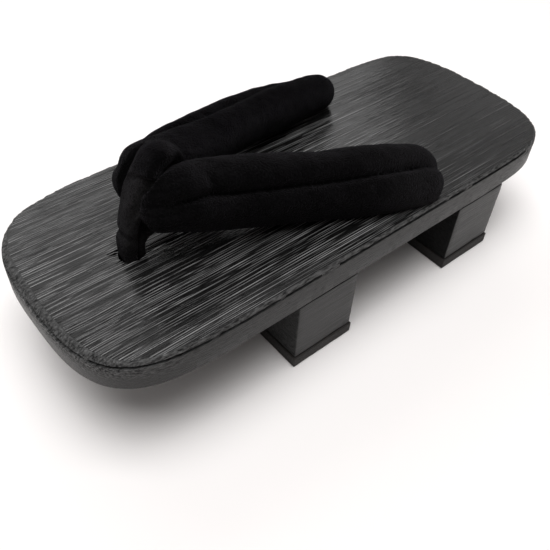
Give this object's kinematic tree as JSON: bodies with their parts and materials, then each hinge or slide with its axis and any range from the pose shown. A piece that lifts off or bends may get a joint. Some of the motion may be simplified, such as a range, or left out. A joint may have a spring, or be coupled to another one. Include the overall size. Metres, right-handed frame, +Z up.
{
  "type": "geta sandal",
  "caption": "Wooden platform sandal with a rounded black board on cross teeth with rubber pads, and a padded velvet thong held by a toe loop.",
  "frame": {"origin": "on the floor, under the middle of the board", "axes": "+Z up, -Y towards the toes, +Y towards the heel, +X to the wearer's left"},
  "size_m": [0.1116, 0.27, 0.1002],
  "materials": {
    "board_wood": "black stained, brushed raised grain, satin",
    "tooth_wood": "black stained, fine grain, satin",
    "pad_rubber": "matt dark brown sheet rubber",
    "thong_velvet": "matt black velvet with a short nap"
  },
  "bodies": {
    "root": {"board": "board_wood", "front_tooth": "tooth_wood", "rear_tooth": "tooth_wood", "front_pad": "pad_rubber", "rear_pad": "pad_rubber", "strap": "thong_velvet", "front_loop": "thong_velvet"}
  },
  "joints": []
}
